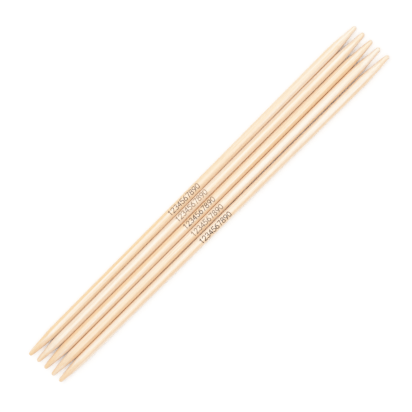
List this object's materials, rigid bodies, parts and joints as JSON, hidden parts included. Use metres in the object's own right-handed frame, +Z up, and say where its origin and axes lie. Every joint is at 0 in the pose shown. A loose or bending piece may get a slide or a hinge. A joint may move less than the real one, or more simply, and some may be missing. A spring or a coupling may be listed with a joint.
{
  "type": "double pointed knitting needles",
  "caption": "Slim round bamboo sticks, pointed at both ends and laid side by side, for knitting in the round.",
  "frame": {"origin": "on the table under the middle of the row, halfway along its length and halfway across it", "axes": "+X runs along needle_3, the middle needle, towards the end where the row fans apart; +Y points across the row towards needle_1; +Z is up from the table"},
  "size_m": [0.1532, 0.0167, 0.0032],
  "materials": {
    "bamboo": "smooth sanded bamboo with a thin satin polish, fine lengthwise fibres",
    "ink": "thin dark brown ink printed on the shaft, dry and matt"
  },
  "bodies": {
    "needle_1": {"needle_1": "bamboo"},
    "needle_2": {"needle_2": "bamboo"},
    "needle_3": {"needle_3": "bamboo"},
    "needle_4": {"needle_4": "bamboo"},
    "needle_5": {"needle_5": "bamboo"}
  },
  "joints": [
    {"name": "needle_1_draw", "type": "slide", "parent": "needle_3", "child": "needle_1", "axis": [1, 0.0007, 0], "range_m": [0, 0.155]},
    {"name": "needle_2_draw", "type": "slide", "parent": "needle_3", "child": "needle_2", "axis": [1, 0.0006, 0], "range_m": [0, 0.155]},
    {"name": "needle_4_draw", "type": "slide", "parent": "needle_3", "child": "needle_4", "axis": [1, -0.0001, 0], "range_m": [0, 0.155]},
    {"name": "needle_5_draw", "type": "slide", "parent": "needle_3", "child": "needle_5", "axis": [1, -0.0021, 0], "range_m": [0, 0.155]}
  ]
}
